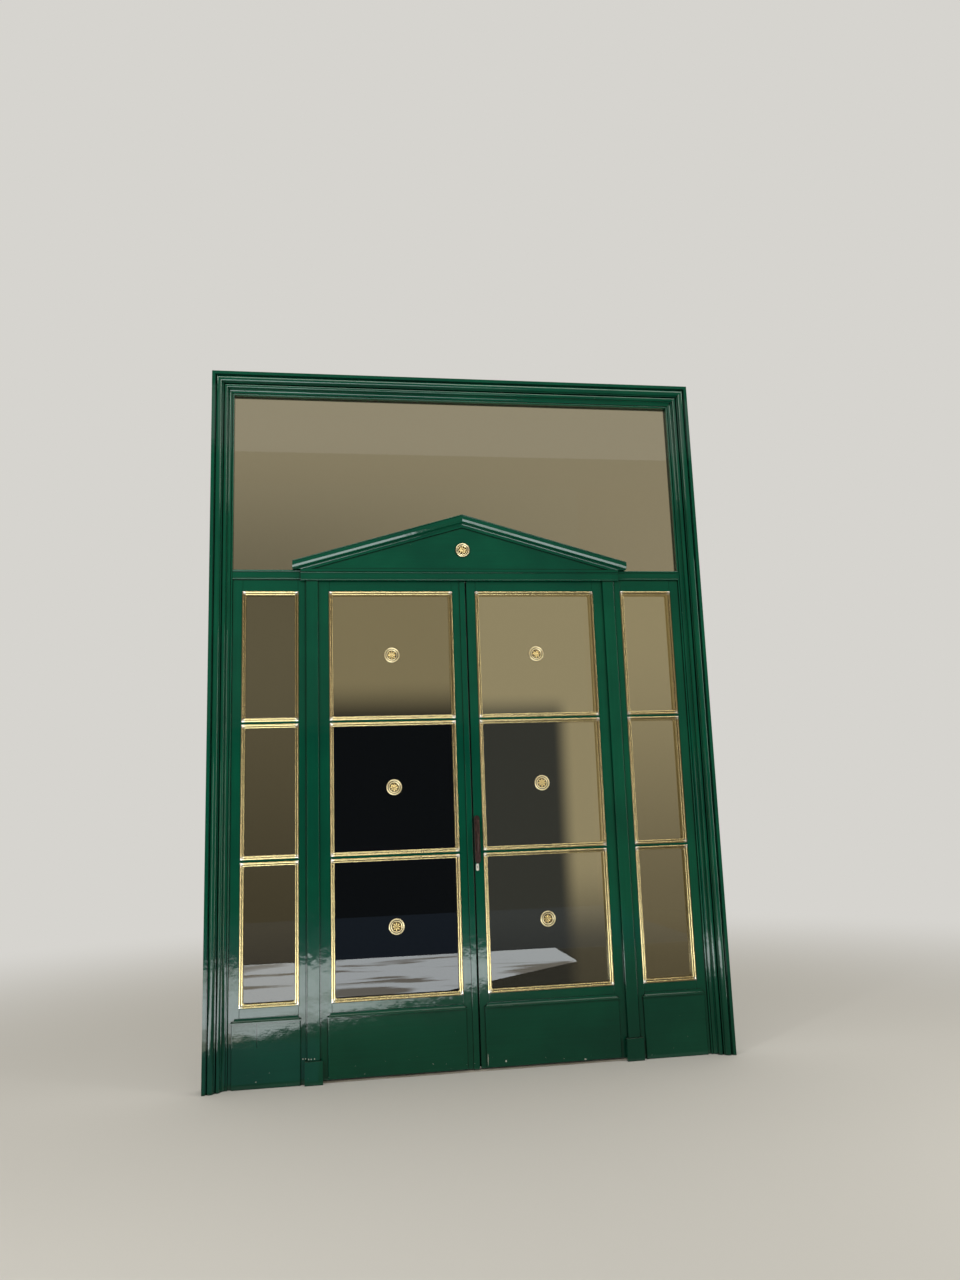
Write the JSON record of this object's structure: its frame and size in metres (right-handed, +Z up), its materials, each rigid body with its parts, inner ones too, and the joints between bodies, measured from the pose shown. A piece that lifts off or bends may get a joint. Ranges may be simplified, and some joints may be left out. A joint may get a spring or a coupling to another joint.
{
  "type": "glazed double entrance door with sidelights, pediment and transom light",
  "caption": "Tall green timber entrance screen with glazed double leaves in brass beads, sidelights, a low pediment and a large transom light, both leaves hinged to swing inward.",
  "frame": {"origin": "on the floor, under the middle of the threshold, in the plane of the front face of stiles and leaves", "axes": "+X to the right seen from outside, +Y into the building, +Z up"},
  "size_m": [2.87, 0.129, 3.94],
  "materials": {
    "green_enamel": "gloss enamel paint on timber",
    "brass": "polished, lightly tarnished",
    "glass": "bronze tinted plate glass",
    "bronze": "dark oxidised bronze",
    "nickel": "worn nickel plate",
    "stone": "honed"
  },
  "bodies": {
    "screen": {"left_casing": "green_enamel", "right_casing": "green_enamel", "head_casing": "green_enamel", "left_jamb": "green_enamel", "right_jamb": "green_enamel", "head_rail": "green_enamel", "transom_rail": "green_enamel", "entablature": "green_enamel", "left_mullion": "green_enamel", "right_mullion": "green_enamel", "left_pilaster": "green_enamel", "right_pilaster": "green_enamel", "left_plinth_block": "green_enamel", "right_plinth_block": "green_enamel", "tympanum": "green_enamel", "left_raking_cornice": "green_enamel", "right_raking_cornice": "green_enamel", "tympanum_rosette": "brass", "transom_glass": "glass", "transom_beads": "green_enamel", "sidelight_stiles": "green_enamel", "sidelight_rails": "green_enamel", "sidelight_glass": "glass", "sidelight_beads": "brass", "left_side_panel": "green_enamel", "right_side_panel": "green_enamel", "threshold": "stone", "frame_hinge_halves": "bronze"},
    "left_leaf": {"left_leaf_stiles": "green_enamel", "left_leaf_rails": "green_enamel", "left_leaf_panel": "green_enamel", "left_leaf_glass": "glass", "left_leaf_beads": "brass", "left_leaf_rosettes": "brass", "left_leaf_hinge_halves": "bronze", "meeting_strip": "green_enamel"},
    "right_leaf": {"right_leaf_stiles": "green_enamel", "right_leaf_rails": "green_enamel", "right_leaf_panel": "green_enamel", "right_leaf_glass": "glass", "right_leaf_beads": "brass", "right_leaf_rosettes": "brass", "right_leaf_hinge_halves": "bronze", "pull_handle": "bronze", "keyhole_plate": "nickel"}
  },
  "joints": [
    {"name": "left_leaf_hinge", "type": "hinge", "parent": "screen", "child": "left_leaf", "pos_m": [-0.849, 0.057, 1.36], "axis": [0, 0, 1], "range_deg": [0, 90]},
    {"name": "right_leaf_hinge", "type": "hinge", "parent": "screen", "child": "right_leaf", "pos_m": [0.849, 0.057, 1.36], "axis": [0, 0, -1], "range_deg": [0, 90]}
  ]
}
